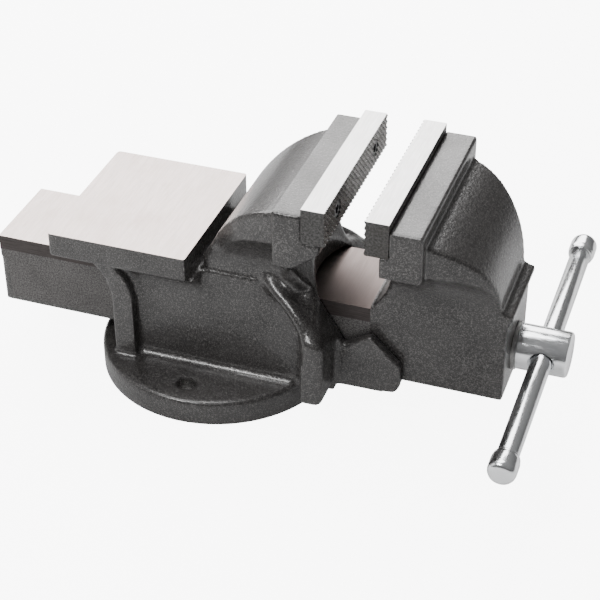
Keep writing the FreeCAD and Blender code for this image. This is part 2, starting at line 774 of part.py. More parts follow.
def make_spindle_nut():
    body = new_body("spindle_nut")
    along_x(body, "nut_block", [
        ("-nut_width / 2", "way_floor"),
        ("nut_width / 2", "way_floor"),
        ("nut_width / 2", "nut_top - nut_chamfer"),
        ("nut_width / 2 - nut_chamfer", "nut_top"),
        ("-nut_width / 2 + nut_chamfer", "nut_top"),
        ("-nut_width / 2", "nut_top - nut_chamfer"),
    ], "nut_rear", "nut_length")
    along_x(body, "nut_thread", [("0", "spindle_high", "thread_radius + thread_play")],
            "nut_rear", "nut_length", cut=True, rings=True)
    holes = circles(body, "XY_Plane", "nut_bolt_threads", [
        ("nut_centre + nut_bolt_spacing / 2", "0", "nut_bolt_radius + fit_play"),
        ("nut_centre - nut_bolt_spacing / 2", "0", "nut_bolt_radius + fit_play"),
    ], "way_floor")
    pocket(body, holes, "nut_bolt_reach + face_play", backwards=True)
    return body


def make_nut_bolt(label, side):
    """A hexagon bolt up through the floor into the nut, drawn from the underside of its head."""
    body = new_body(label)
    head = outline(body, "XY_Plane", label + "_head", hexagon("nut_bolt_head_across"), "-nut_bolt_head_high")
    pad(body, head, "nut_bolt_head_high")
    shank = circles(body, "XY_Plane", label + "_shank", [("0", "0", "nut_bolt_radius")])
    pad(body, shank, "nut_washer_thick + way_floor - base_hollow_depth + nut_bolt_reach")
    return placed(body, f"nut_centre {side} nut_bolt_spacing / 2", z="base_hollow_depth - nut_washer_thick")


def make_nut_washer(label, side):
    body = new_body(label)
    rings = circles(body, "XY_Plane", label + "_ring", [
        ("0", "0", "nut_washer_radius"), ("0", "0", "nut_bolt_radius + washer_play")])
    pad(body, rings, "nut_washer_thick")
    return placed(body, f"nut_centre {side} nut_bolt_spacing / 2", z="base_hollow_depth - nut_washer_thick")


# ------------------------------------------------------------------ handle

def on_handle(item, angle="handle_tilt"):
    """Parts of the handle are drawn about the middle of the cross hole, along their own Y."""
    return placed(item, "handle_place", z="spindle_high", axis=vector(1, 0, 0), angle=angle)


def make_handle_bar():
    body = new_body("handle_bar")
    section = circles(body, "XZ_Plane", "bar_section", [("0", "0", "handle_radius")], "-handle_shift")
    pad(body, section, "handle_length - (cap_length - cap_grip) * 2", both_ways=True)
    return on_handle(body)


def make_cap(label, shift, angle):
    """A rounded cap pressed over the bar's end."""
    body = new_body(label)
    end = f"handle_length / 2 {shift}"
    profile = outline(body, "XY_Plane", label + "_profile", [
        ("handle_radius + fit_play", f"{end} - cap_length"),
        ("cap_radius - cap_edge", f"{end} - cap_length"),
        ("cap_radius", f"{end} - cap_length + cap_edge"),
        ("cap_radius", f"{end} - cap_round"),
        ("cap_radius - cap_round", end, "cap_round", "right"),
        ("0", end),
        ("0", f"{end} - cap_length + cap_grip"),
        ("handle_radius + fit_play", f"{end} - cap_length + cap_grip"),
    ])
    revolve(body, profile, "V_Axis")
    return on_handle(body, angle)


# ------------------------------------------------------------------ the vise

def make_vise():
    made = [make_fixed_body(), make_moving_jaw()]
    made.append(make_plate("fixed_jaw_plate", "jaw_face", forwards=False))
    made.append(make_plate("moving_jaw_plate", "moving_face", forwards=True))
    for side, sign in (("near", "-"), ("far", "")):
        made.append(make_plate_screw(f"fixed_jaw_screw_{side}", "jaw_face", sign, forwards=False))
        made.append(make_plate_screw(f"moving_jaw_screw_{side}", "moving_face", sign, forwards=True))
    made.append(make_spindle_nut())
    for side, sign in (("front", "+"), ("rear", "-")):
        made.append(make_nut_bolt(f"nut_bolt_{side}", sign))
        made.append(make_nut_washer(f"nut_washer_{side}", sign))
    made.append(make_lead_screw())
    made.append(on_spindle(make_ring("thrust_washer", "head_shoulder - thrust_washer_thick",
                                     "thrust_washer_thick", "washer_radius", "journal_radius + washer_play")))
    made.append(make_spring())
    made.append(on_spindle(make_ring("spring_washer", "spring_washer_rear", "spring_washer_thick",
                                     "washer_radius", "thread_radius + washer_play")))
    made.append(make_cotter_pin())
    made.append(make_handle_bar())
    made.append(make_cap("handle_cap_far", "+ handle_shift", "handle_tilt"))
    made.append(make_cap("handle_cap_near", "- handle_shift", "handle_tilt + 180"))
    return made


def check(pieces):
    """Stops if any object failed, or if a piece isn't one sound solid."""
    doc.recompute()
    for item in doc.Objects:
        if "Invalid" in item.State or "Error" in item.State:
            raise ValueError(f"{item.Label} failed: {item.State}")
    for piece in pieces:
        if piece.Shape.isNull() or not piece.Shape.isValid():
            raise ValueError(f"{piece.Label} is not a sound shape")
        print(piece.Label, len(piece.Shape.Solids), round(piece.Shape.Volume), piece.Shape.BoundBox)


pieces = make_vise()
check(pieces)
for piece in pieces:
    piece.Shape.exportStep(f"parts/{piece.Label}.step")
print(len(pieces), "pieces")
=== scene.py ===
import bmesh
import bpy
import json
import math
from mathutils import Matrix, Vector

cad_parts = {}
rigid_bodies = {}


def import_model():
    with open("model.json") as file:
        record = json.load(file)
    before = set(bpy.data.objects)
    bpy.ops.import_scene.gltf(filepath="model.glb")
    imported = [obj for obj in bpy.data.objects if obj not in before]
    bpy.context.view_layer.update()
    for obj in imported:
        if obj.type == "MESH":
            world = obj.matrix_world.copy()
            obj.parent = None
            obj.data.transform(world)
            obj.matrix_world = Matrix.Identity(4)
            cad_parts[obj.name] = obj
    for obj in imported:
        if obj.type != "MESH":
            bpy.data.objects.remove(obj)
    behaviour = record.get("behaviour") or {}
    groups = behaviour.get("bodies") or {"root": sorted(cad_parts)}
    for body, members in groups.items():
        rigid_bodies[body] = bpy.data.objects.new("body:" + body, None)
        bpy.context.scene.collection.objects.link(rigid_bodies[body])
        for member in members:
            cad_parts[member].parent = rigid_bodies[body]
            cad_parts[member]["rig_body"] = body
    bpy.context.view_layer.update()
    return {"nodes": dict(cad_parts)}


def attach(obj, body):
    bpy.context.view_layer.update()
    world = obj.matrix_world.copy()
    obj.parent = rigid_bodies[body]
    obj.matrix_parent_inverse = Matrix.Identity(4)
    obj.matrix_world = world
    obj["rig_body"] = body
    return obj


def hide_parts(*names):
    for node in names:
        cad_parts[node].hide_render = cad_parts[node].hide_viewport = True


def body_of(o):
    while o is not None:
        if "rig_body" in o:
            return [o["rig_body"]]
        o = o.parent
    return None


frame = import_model()
nodes = frame["nodes"]
scene = bpy.context.scene
mm = 0.001
print("frame loaded:", len(nodes), "nodes")


# ---- camera, floor and light

view = {
    "place": (0.4102, -0.9765, 0.7981),
    "azimuth": 19.36,
    "elevation": 35.31,
    "roll": 0.22,
    "lens": 98.43,
    "sensor": 36.0,
}

studio = {
    "floorSize": 14.0,
    "floorColour": (0.62, 0.62, 0.62, 1),
    "glowColour": (1.0, 1.0, 1.0, 1),
    "floorGlow": 0.16,
    "floorGlowSeen": 7.5,
    "skyLow": 0.12,
    "skyHigh": 0.26,
    # name: place, what it points at, width, height, watts, colour
    "lights": {
        "rearBox": ((-0.50, 1.20, 1.05), (0.0, 0.0, 0.1), 1.8, 1.1, 40, (1.0, 0.99, 0.985)),
        "overhead": ((-0.25, 0.25, 1.7), (0.05, 0.0, 0.0), 1.3, 1.0, 26, (1.0, 1.0, 1.0)),
        "frontStrip": ((-0.43, -0.93, 1.25), (0.0, 0.0, 0.1), 0.7, 0.30, 16, (1.0, 1.0, 1.0)),
        "leftPanel": ((-1.4, -0.5, 0.6), (0.0, 0.0, 0.1), 0.9, 0.9, 2.5, (1.0, 0.99, 0.98)),
    },
}


def makeCamera():
    data = bpy.data.cameras.new("camera")
    data.lens = view["lens"]
    data.sensor_width = view["sensor"]
    turn = math.radians(view["azimuth"])
    lift = math.radians(view["elevation"])
    right = Vector((math.cos(turn), math.sin(turn), 0))
    back = Vector((math.sin(turn) * math.cos(lift), -math.cos(turn) * math.cos(lift), math.sin(lift)))
    up = back.cross(right)
    facing = Matrix((right, up, back)).transposed().to_4x4()
    camera = bpy.data.objects.new("camera", data)
    camera.matrix_world = (Matrix.Translation(Vector(view["place"])) @ facing
                           @ Matrix.Rotation(math.radians(-view["roll"]), 4, "Z"))
    scene.collection.objects.link(camera)
    scene.camera = camera


def plainFloor():
    material = bpy.data.materials.new("floorPaper")
    material.use_nodes = True
    shader = material.node_tree.nodes["Principled BSDF"]
    shader.inputs["Base Color"].default_value = studio["floorColour"]
    shader.inputs["Roughness"].default_value = 0.9
    shader.inputs["Specular IOR Level"].default_value = 0.1
    # the paper glows as on a light table, and looks brighter than the light it throws
    shader.inputs["Emission Color"].default_value = studio["glowColour"]
    seen = material.node_tree.nodes.new("ShaderNodeLightPath").outputs["Is Camera Ray"]
    glow = ramp(material.node_tree, seen, 0, 1, studio["floorGlow"], studio["floorGlowSeen"])
    material.node_tree.links.new(glow, shader.inputs["Emission Strength"])
    return material


def makeStudio():
    world = bpy.data.worlds.new("studio")
    world.use_nodes = True
    background = world.node_tree.nodes["Background"]
    background.inputs["Color"].default_value = (1.0, 1.0, 1.0, 1)
    # the room is dimmer near the ground than overhead
    sky = world.node_tree.nodes.new("ShaderNodeTexCoord").outputs["Generated"]
    height = addNode(world.node_tree, "SeparateXYZ", n0=sky).outputs[2]
    world.node_tree.links.new(ramp(world.node_tree, height, -0.1, 0.9, studio["skyLow"], studio["skyHigh"]),
                              background.inputs["Strength"])
    scene.world = world
    for name, (place, target, width, height, watts, colour) in studio["lights"].items():
        data = bpy.data.lights.new(name, "AREA")
        data.shape = "RECTANGLE"
        data.size = width
        data.size_y = height
        data.energy = watts
        data.color = colour
        lamp = bpy.data.objects.new(name, data)
        aim = (Vector(target) - Vector(place)).to_track_quat("-Z", "Y")
        lamp.matrix_world = Matrix.Translation(Vector(place)) @ aim.to_matrix().to_4x4()
        scene.collection.objects.link(lamp)
    bm = bmesh.new()
    bmesh.ops.create_grid(bm, x_segments=1, y_segments=1, size=studio["floorSize"] / 2)
    floor = addPiece("floor", bm, [plainFloor()])


def addPiece(name, bm, materials):
    # the bmesh becomes an object at the origin
    mesh = bpy.data.meshes.new(name)
    bm.to_mesh(mesh)
    bm.free()
    for material in materials:
        mesh.materials.append(material)
    piece = bpy.data.objects.new(name, mesh)
    scene.collection.objects.link(piece)
    return piece


# ---- shape helpers, with sizes in millimetres

def freshCopy(name):
    # a node's mesh with its loose triangles joined up
    bm = bmesh.new()
    bm.from_mesh(nodes[name].data)
    bmesh.ops.remove_doubles(bm, verts=bm.verts, dist=1e-6)
    return bm


def addBlock(bm, low, high):
    verts = bmesh.ops.create_cube(bm, size=1.0)["verts"]
    bmesh.ops.scale(bm, vec=[(b - a) * mm for a, b in zip(low, high)], verts=verts)
    bmesh.ops.translate(bm, vec=[(b + a) / 2 * mm for a, b in zip(low, high)], verts=verts)


def addRod(bm, middle, axis, radius, length, segments=64):
    facing = Vector((0, 0, 1)).rotation_difference(Vector(axis)).to_matrix().to_4x4()
    place = Matrix.Translation(Vector(middle) * mm) @ facing
    bmesh.ops.create_cone(bm, cap_ends=True, segments=segments, radius1=radius * mm, radius2=radius * mm,
                          depth=length * mm, matrix=place)


def spunFrom(profile, segments, place=Matrix.Identity(4)):
    # a closed piece of revolution about X, from points of (along, radius)
    bm = bmesh.new()
    verts = [bm.verts.new((along * mm, radius * mm, 0)) for along, radius in profile]
    edges = [bm.edges.new(pair) for pair in zip(verts, verts[1:])]
    bmesh.ops.spin(bm, geom=verts + edges, cent=(0, 0, 0), axis=(1, 0, 0), angle=math.tau, steps=segments,
                   use_merge=True)
    bmesh.ops.remove_doubles(bm, verts=bm.verts, dist=1e-6)
    bmesh.ops.recalc_face_normals(bm, faces=bm.faces)
    bmesh.ops.transform(bm, matrix=place, verts=bm.verts)
    return bm


def evaluated(piece):
    # the mesh that a piece's modifiers make
    graph = bpy.context.evaluated_depsgraph_get()
    graph.update()
    return bpy.data.meshes.new_from_object(piece.evaluated_get(graph))


def discard(*pieces):
    for piece in pieces:
        mesh = piece.data
        bpy.data.objects.remove(piece)
        bpy.data.meshes.remove(mesh)


def combined(piece, tools):
    # booleans in turn: each tool is (operation, bmesh, index of the material its faces leave)
    used = []
    for number, (operation, bm, index) in enumerate(tools):
        for face in bm.faces:
            face.material_index = index
        tool = addPiece("tool", bm, list(piece.data.materials))
        modifier = piece.modifiers.new("cut" + str(number), "BOOLEAN")
        modifier.operation = operation
        modifier.solver = "MANIFOLD"
        modifier.object = tool
        used.append(tool)
    mesh = evaluated(piece)
    piece.modifiers.clear()
    spare = piece.data
    piece.data = mesh
    bpy.data.meshes.remove(spare)
    discard(*used)


def block(low, high):
    bm = bmesh.new()
    addBlock(bm, low, high)
    return bm


def rod(middle, axis, radius, length, segments=64):
    bm = bmesh.new()
    addRod(bm, middle, axis, radius, length, segments)
    return bm


def softEdges(piece, angle):
    # smooth shading that breaks at sharp corners and where one finish meets another
    mesh = piece.data
    mesh.shade_smooth()
    bm = bmesh.new()
    bm.from_mesh(mesh)
    for edge in bm.edges:
        faces = edge.link_faces
        if len(faces) == 2:
            meets = faces[0].material_index != faces[1].material_index
            edge.smooth = not (meets or edge.calc_face_angle(0) > math.radians(angle))
    bm.to_mesh(mesh)
    bm.free()


def install(piece, name):
    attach(piece, body_of(nodes[name])[0])
    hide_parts(name)


# ---- shared effects

def newGroup(name, inputs, outputs):
    # inputs are (name, kind, starting value), outputs are (name, kind)
    group = bpy.data.node_groups.new(name, "ShaderNodeTree")
    for title, kind, start in inputs:
        socket = group.interface.new_socket(title, in_out="INPUT", socket_type="NodeSocket" + kind)
        if start is not None:
            socket.default_value = start
    for title, kind in outputs:
        group.interface.new_socket(title, in_out="OUTPUT", socket_type="NodeSocket" + kind)
    entry = group.nodes.new("NodeGroupInput")
    leave = group.nodes.new("NodeGroupOutput")
    return group, entry, leave


def addNode(tree, kind, settings=None, **inputs):
    # spaces in a socket's name are written as underscores, and a socket is linked where one is given
    node = tree.nodes.new("ShaderNode" + kind)
    for name, value in (settings or {}).items():
        setattr(node, name, value)
    for name, value in inputs.items():
        socket = node.inputs[int(name[1:])] if name[1:].isdigit() else node.inputs[name.replace("_", " ")]
        if isinstance(value, bpy.types.NodeSocket):
            tree.links.new(value, socket)
        else:
            socket.default_value = value
    return node


def maths(tree, operation, first, second=0.0):
    return addNode(tree, "Math", {"operation": operation}, n0=first, n1=second).outputs[0]


def ramp(tree, factor, low, high, start=0.0, end=1.0):
    node = addNode(tree, "MapRange", {"interpolation_type": "SMOOTHSTEP"}, Value=factor)
    for name, value in (("From Min", low), ("From Max", high), ("To Min", start), ("To Max", end)):
        if isinstance(value, bpy.types.NodeSocket):
            tree.links.new(value, node.inputs[name])
        else:
            node.inputs[name].default_value = value
    return node.outputs["Result"]


def blendColours(tree, factor, first, second):
    node = addNode(tree, "Mix", {"data_type": "RGBA"})
    for index, value in ((0, factor), (6, first), (7, second)):
        if isinstance(value, bpy.types.NodeSocket):
            tree.links.new(value, node.inputs[index])
        else:
            node.inputs[index].default_value = value
    return node.outputs[2]


hammerSizes = {
    # scales as shares of the cells' own, then how far the cells bend and how high each layer stands
    "drift": 0.45,
    "grain": 2.4,
    "cloud": 0.06,
    "bend": 1.1,
    "cellHeight": 0.8,
    "grainHeight": 0.35,
    # the grain's value where a fleck is full, and how far more flecks bring its start down
    "fleckFull": 0.70,
    "fleckReach": 0.25,
}


def makeHammerGroup():
    # dimpled enamel: rounded cells with light flecks where the metallic pigment gathered
    group, entry, leave = newGroup("hammerFinish", [
        ("Coordinates", "Vector", None), ("Cells", "Float", 420.0), ("Flecks", "Float", 0.5)],
        [("Fleck", "Float"), ("Cloud", "Float"), ("Height", "Float")])
    sizes = hammerSizes
    place, cells = entry.outputs["Coordinates"], entry.outputs["Cells"]
    drift = addNode(group, "TexNoise", Vector=place, Detail=2.0,
                    Scale=maths(group, "MULTIPLY", cells, sizes["drift"]))
    bent = addNode(group, "VectorMath", {"operation": "SCALE"}, n0=drift.outputs["Color"])
    group.links.new(maths(group, "DIVIDE", sizes["bend"], cells), bent.inputs["Scale"])
    moved = addNode(group, "VectorMath", {"operation": "ADD"}, n0=place, n1=bent.outputs[0]).outputs[0]
    cell = addNode(group, "TexVoronoi", {"feature": "SMOOTH_F1"}, Vector=moved, Scale=cells, Smoothness=0.6)
    grain = addNode(group, "TexNoise", Vector=place, Detail=3.0, Roughness=0.6,
                    Scale=maths(group, "MULTIPLY", cells, sizes["grain"]))
    cloud = addNode(group, "TexNoise", Vector=place, Detail=4.0,
                    Scale=maths(group, "MULTIPLY", cells, sizes["cloud"]))
    reach = maths(group, "MULTIPLY", entry.outputs["Flecks"], sizes["fleckReach"])
    start = maths(group, "SUBTRACT", sizes["fleckFull"], reach)
    fleck = ramp(group, grain.outputs[0], start, sizes["fleckFull"])
    height = maths(group, "ADD", maths(group, "MULTIPLY", cell.outputs["Distance"], sizes["cellHeight"]),
                   maths(group, "MULTIPLY", grain.outputs[0], sizes["grainHeight"]))
    group.links.new(fleck, leave.inputs["Fleck"])
    group.links.new(ramp(group, cloud.outputs[0], 0.3, 0.7), leave.inputs["Cloud"])
    group.links.new(height, leave.inputs["Height"])
    return group


def makeWearGroup():
    # where a paint film is thin: outer edges, broken up by noise
    group, entry, leave = newGroup("edgeWear", [
        ("Coordinates", "Vector", None), ("Start", "Float", 0.52), ("Width", "Float", 0.05),
        ("Breaks", "Float", 120.0)], [("Mask", "Float")])
    start, breaks = entry.outputs["Start"], entry.outputs["Breaks"]
    shape = group.nodes.new("ShaderNodeNewGeometry").outputs["Pointiness"]
    noise = addNode(group, "TexNoise", Vector=entry.outputs["Coordinates"], Scale=breaks, Detail=5.0)
    spread = maths(group, "MULTIPLY", maths(group, "SUBTRACT", noise.outputs[0], 0.5), 0.08)
    broken = maths(group, "ADD", shape, spread)
    edge = ramp(group, broken, start, maths(group, "ADD", start, entry.outputs["Width"]))
    group.links.new(edge, leave.inputs["Mask"])
    return group


def makeGrindGroup():
    # fine parallel marks left by a grinder or a cutter, with faint stains
    group, entry, leave = newGroup("grindMarks", [
        ("Coordinates", "Vector", None), ("Squeeze", "Vector", (1.0, 30.0, 30.0)),
        ("Fineness", "Float", 60.0), ("Stains", "Float", 0.4)],
        [("Line", "Float"), ("Stain", "Float"), ("Height", "Float")])
    place, squeeze, fineness = [entry.outputs[title] for title in ("Coordinates", "Squeeze", "Fineness")]
    along = addNode(group, "VectorMath", {"operation": "MULTIPLY"}, n0=place, n1=squeeze).outputs[0]
    line = addNode(group, "TexNoise", Vector=along, Scale=fineness, Detail=4.0, Roughness=0.7)
    cloud = addNode(group, "TexNoise", Vector=place, Scale=22.0, Detail=5.0, Roughness=0.65)
    stain = maths(group, "MULTIPLY", ramp(group, cloud.outputs[0], 0.45, 0.72), entry.outputs["Stains"])
    group.links.new(ramp(group, line.outputs[0], 0.32, 0.68), leave.inputs["Line"])
    group.links.new(stain, leave.inputs["Stain"])
    group.links.new(line.outputs[0], leave.inputs["Height"])
    return group


hammerFinish = makeHammerGroup()
edgeWear = makeWearGroup()
grindMarks = makeGrindGroup()


def useGroup(tree, group, coordinates, **values):
    node = tree.nodes.new("ShaderNodeGroup")
    node.node_tree = group
    tree.links.new(coordinates, node.inputs["Coordinates"])
    for name, value in values.items():
        node.inputs[name].default_value = value
    return node.outputs


def newMaterial(name, **constants):
    # a Principled material with its fixed values set on the shader, its tree and its Object coordinates
    material = bpy.data.materials.new(name)
    material.use_nodes = True
    tree = material.node_tree
    shader = tree.nodes["Principled BSDF"]
    for title, value in constants.items():
        shader.inputs[title.replace("_", " ")].default_value = value
    place = tree.nodes.new("ShaderNodeTexCoord").outputs["Object"]
    return material, tree, shader, place


def bump(tree, shader, height, strength, distance):
    node = addNode(tree, "Bump", Height=height, Strength=strength, Distance=distance)
    tree.links.new(node.outputs["Normal"], shader.inputs["Normal"])


# ---- materials

castPaintLook = {
    "deep": (0.010, 0.0094, 0.0091, 1),
    "body": (0.026, 0.0240, 0.0232, 1),
    "fleck": (0.20, 0.192, 0.187, 1),
    "worn": (0.07, 0.067, 0.064, 1),
    "cells": 430.0,
    "flecks": 0.75,
    "bumpStrength": 0.6,
    "bumpDepth": 0.0005,
    "wearStart": 0.56,
    "wearWidth": 0.08,
    "wearShare": 0.5,
    "coatRoughness": 0.12,
    # between plain enamel and a fleck
    "roughness": (0.36, 0.24),
    "metallic": (0.1, 0.6),
    # between thin and thick enamel
    "coat": (0.25, 0.45),
}


def paintedCasting(name, look):
    material, tree, shader, place = newMaterial(name, Coat_Roughness=look["coatRoughness"])
    hammer = useGroup(tree, hammerFinish, place, Cells=look["cells"], Flecks=look["flecks"])
    wear = useGroup(tree, edgeWear, place, Start=look["wearStart"], Width=look["wearWidth"])
    tone = blendColours(tree, hammer["Cloud"], look["deep"], look["body"])
    tone = blendColours(tree, ramp(tree, hammer["Height"], 0.25, 0.75), tone, look["body"])
    tone = blendColours(tree, hammer["Fleck"], tone, look["fleck"])
    tone = blendColours(tree, maths(tree, "MULTIPLY", wear["Mask"], look["wearShare"]), tone, look["worn"])
    tree.links.new(tone, shader.inputs["Base Color"])
    tree.links.new(ramp(tree, hammer["Fleck"], 0, 1, *look["roughness"]), shader.inputs["Roughness"])
    tree.links.new(ramp(tree, hammer["Fleck"], 0, 1, *look["metallic"]), shader.inputs["Metallic"])
    tree.links.new(ramp(tree, hammer["Cloud"], 0, 1, *look["coat"]), shader.inputs["Coat Weight"])
    bump(tree, shader, hammer["Height"], look["bumpStrength"], look["bumpDepth"])
    return material


groundLooks = {
    # name: light tone, dark tone, stain tone, roughness low and high, metallic, squeeze, fineness, stains
    "groundIron": ((0.60, 0.52, 0.495, 1), (0.53, 0.455, 0.43, 1), (0.44, 0.36, 0.33, 1),
                   0.30, 0.40, 0.9, (30.0, 1.0, 30.0), 45.0, 0.35),
    # the band's near-black tones are painted reflection: ground steel coloured as dark as the dark
    # surroundings it mirrors
    "groundBandPaintedReflection": ((0.06, 0.050, 0.048, 1), (0.035, 0.029, 0.028, 1), (0.03, 0.024, 0.022, 1),
                   0.38, 0.55, 0.6, (1.0, 30.0, 30.0), 45.0, 0.5),
    "groundSteel": ((0.86, 0.85, 0.84, 1), (0.72, 0.71, 0.70, 1), (0.60, 0.58, 0.56, 1),
                    0.3, 0.45, 0.8, (30.0, 1.0, 30.0), 60.0, 0.25),
    "toothSteel": ((0.42, 0.41, 0.40, 1), (0.16, 0.155, 0.15, 1), (0.05, 0.048, 0.045, 1),
                   0.22, 0.4, 0.9, (1.0, 1.0, 4.0), 200.0, 0.6),
    "washerSteel": ((0.52, 0.52, 0.51, 1), (0.36, 0.36, 0.35, 1), (0.25, 0.23, 0.20, 1),
                    0.3, 0.5, 0.9, (30.0, 1.0, 30.0), 80.0, 0.6),
    "screwSteel": ((0.40, 0.39, 0.37, 1), (0.24, 0.23, 0.22, 1), (0.12, 0.10, 0.08, 1),
                   0.28, 0.5, 0.9, (1.0, 8.0, 8.0), 120.0, 0.8),
    "slideSide": ((0.15, 0.143, 0.14, 1), (0.030, 0.0285, 0.0275, 1), (0.030, 0.027, 0.026, 1),
                  0.35, 0.55, 0.5, (5.0, 5.0, 5.0), 170.0, 0.4),
    "plateEnd": ((0.10, 0.098, 0.096, 1), (0.035, 0.034, 0.033, 1), (0.05, 0.045, 0.04, 1),
                 0.35, 0.55, 0.6, (3.0, 3.0, 3.0), 200.0, 0.5),
    "springSteel": ((0.22, 0.21, 0.20, 1), (0.12, 0.115, 0.11, 1), (0.10, 0.07, 0.05, 1),
                    0.3, 0.45, 0.9, (6.0, 6.0, 6.0), 120.0, 0.7),
    "blackSteel": ((0.055, 0.055, 0.056, 1), (0.03, 0.03, 0.031, 1), (0.09, 0.07, 0.06, 1),
                   0.32, 0.5, 0.6, (12.0, 12.0, 12.0), 120.0, 0.4),
    "nutIron": ((0.16, 0.155, 0.15, 1), (0.085, 0.08, 0.078, 1), (0.06, 0.045, 0.03, 1),
                0.3, 0.6, 0.5, (20.0, 20.0, 20.0), 30.0, 0.8),
}
# painted shade and painted reflection of the jaws on the slide's top: where it starts and is full along the
# slide, its reach to each side, and its strength at both sides
jawShadeLook = {"from": 58, "to": 85, "across": 45, "near": 1.0, "far": 0.86, "colour": (0.105, 0.082, 0.076, 1)}


def groundMetal(name):
    light, dark, stained, smooth, rough, metallic, squeeze, fineness, stains = groundLooks[name]
    material, tree, shader, place = newMaterial(name, Metallic=metallic)
    marks = useGroup(tree, grindMarks, place, Squeeze=squeeze, Fineness=fineness, Stains=stains)
    tone = blendColours(tree, marks["Line"], dark, light)
    tone = blendColours(tree, marks["Stain"], tone, stained)
    if name == "groundIron":
        # the slide's top between the jaws is darkened with painted shade and painted reflection of the jaws
        # above it, more on the near side
        along = tree.nodes.new("ShaderNodeSeparateXYZ")
        tree.links.new(place, along.inputs[0])
        shadeAmount = ramp(tree, along.outputs["X"], jawShadeLook["from"] * mm, jawShadeLook["to"] * mm)
        across = ramp(tree, along.outputs["Y"], -jawShadeLook["across"] * mm, jawShadeLook["across"] * mm,
                      jawShadeLook["near"], jawShadeLook["far"])
        shadeAmount = maths(tree, "MULTIPLY", shadeAmount, across)
        tone = blendColours(tree, shadeAmount, tone, jawShadeLook["colour"])
    tree.links.new(tone, shader.inputs["Base Color"])
    tree.links.new(ramp(tree, marks["Line"], 0, 1, rough, smooth), shader.inputs["Roughness"])
    bump(tree, shader, marks["Height"], 0.012, 0.0001)
    return material


platedLook = {
    "bright": (0.90, 0.91, 0.92, 1),
    "cool": (0.74, 0.77, 0.80, 1),
    "roughness": (0.10, 0.26),
    "waves": 35.0,
    "bumpStrength": 0.25,
    "bumpDepth": 0.0012,
}


def platedSteel(name, look):
    # bright plating over a part that was forged and polished, so its surface waves a little
    material, tree, shader, place = newMaterial(name, Metallic=1.0)
    wave = addNode(tree, "TexNoise", Vector=place, Scale=look["waves"], Detail=2.0).outputs[0]
    marks = useGroup(tree, grindMarks, place, Squeeze=(1.0, 6.0, 6.0), Fineness=160.0, Stains=0.5)
    tone = blendColours(tree, marks["Stain"], look["bright"], look["cool"])
    tree.links.new(tone, shader.inputs["Base Color"])
    tree.links.new(ramp(tree, marks["Line"], 0, 1, *look["roughness"]), shader.inputs["Roughness"])
    height = maths(tree, "ADD", wave, maths(tree, "MULTIPLY", marks["Height"], 0.05))
    bump(tree, shader, height, look["bumpStrength"], look["bumpDepth"])
    return material


castPaint = paintedCasting("castPaint", castPaintLook)
ground = {name: groundMetal(name) for name in groundLooks}
plated = platedSteel("plated", platedLook)
print("materials made:", len(bpy.data.materials))

makeCamera()
makeStudio()


# ---- castings

bodyCasting = {
    "node": "fixed_body",
    "slot": "painted_casting",
    "voxel": 1.8,
    "smoothing": 3,
    "sharp": 42,
    # raised stock on the faces that are machined afterwards
    "stock": [((-111.4, -65, 120), (0, 65, 132))],
    "underStock": ((0, 0, -1.5), 94, 5),  # middle, radius, length
    # the throat's lip and the flange's upper corners slope away: a block's corners, axis, tilt and place
    "trims": [
        ((0, -90, 0), (80, 90, 40), "Y", 58.9, (75.2, 0, 133.6)),
        ((0, 0, 0), (45, 60, 30), "X", -34, (80, 40, 104.5)),
        ((0, -60, 0), (45, 0, 30), "X", 34, (80, -40, 104.5)),
    ],
    # a rounded rib sweeps from the flange up to each wall: its centres and radius
    "rib": [(98, 66, 66, 6.5), (97, 65, 79, 6.5), (89, 60.5, 90, 6.5), (79, 54.5, 98, 6.5),
            (66, 48.5, 105, 6.0), (57, 43, 111, 5.5)],
    # the box about the rib that is smoothed again, and how often
    "softZone": ((48, 40, 60), (113, 80, 130), 20),
    # machined boxes: corners, and which of castingFinishes each leaves, counted from 0
    "boxes": [
        ((-130, -80, 128.6), (8, 80, 140), 1),
        ((-140, -37.45, 36.05), (175, 37.45, 97.85), 2),
        ((93.85, -90, 169.65), (125, 90, 210), 2),
        ((-110, -110, -8), (110, 110, 0), 2),
    ],
    # drilled holes: middle, axis, radius, length
    "holes": [
        ((0, 72, 10), (0, 0, 1), 7.05, 60),
        ((0, -72, 10), (0, 0, 1), 7.05, 60),
        ((0, 0, 5), (0, 0, 1), 56.05, 14),
        ((36, 0, 20), (0, 0, 1), 4.5, 60),
        ((4, 0, 20), (0, 0, 1), 4.5, 60),
        ((95.5, 45, 183.6), (1, 0, 0), 4.1, 30),
        ((95.5, -45, 183.6), (1, 0, 0), 4.1, 30),
    ],
}

jawCasting = {
    "node": "moving_jaw",
    "slot": "painted_casting",
    "voxel": 1.7,
    "smoothing": 2,
    "sharp": 42,
    "stock": [
        ((-173, -38.5, 80), (133, 38.5, 97.4)),
        ((-173, -38.5, 90), (133, 38.5, 100.5)),
    ],
    "underStock": None,
    "trims": [],
    "rib": [],
    "softZone": None,
    "boxes": [
        ((-190, -60, 97.4), (134.9, 60, 140), 1),
        ((-190, 37, 85.4), (134.9, 60, 97.5), 3),
        ((-190, -60, 85.4), (134.9, -37, 97.5), 3),
        ((-190, 36.5, 20), (134.9, 60, 85.4), 4),
        ((-190, -60, 20), (134.9, -36.5, 85.4), 4),
        ((-190, -60, 20), (-170, 60, 140), 2),
        ((125, -90, 169.65), (157.65, 90, 210), 2),
    ],
    "holes": [
        ((225, 0, 63.5), (1, 0, 0), 13.6, 60),
        ((156.3, 45, 183.6), (1, 0, 0), 4.1, 30),
        ((156.3, -45, 183.6), (1, 0, 0), 4.1, 30),
    ],
}


